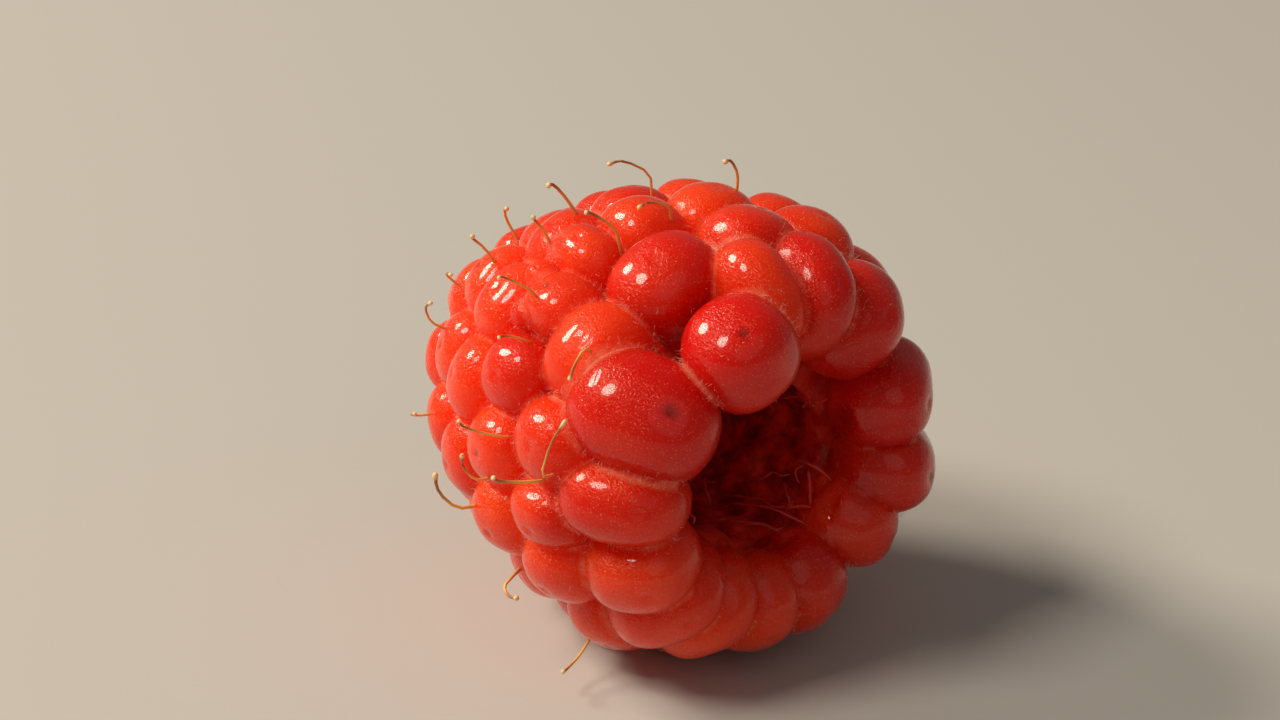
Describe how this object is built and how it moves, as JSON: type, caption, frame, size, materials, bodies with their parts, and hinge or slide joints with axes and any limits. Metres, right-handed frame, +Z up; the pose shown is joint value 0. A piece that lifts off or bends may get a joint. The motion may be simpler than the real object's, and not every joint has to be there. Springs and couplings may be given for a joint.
{
  "type": "raspberry",
  "caption": "Picked raspberry on its side: glossy red drupelets grown together round an open hollow, with dry styles still on them.",
  "frame": {"origin": "middle of the small flat spot that the fruit rests on, below its middle", "axes": "+Z up, +X along the fruit's axis towards its open end, within one degree"},
  "size_m": [0.0262, 0.0245, 0.0212],
  "materials": {
    "drupelet_skin": "thin glossy skin over translucent red flesh, finely pored, with a faint pale bloom"
  },
  "bodies": {
    "root": {"berry": "drupelet_skin"}
  },
  "joints": []
}
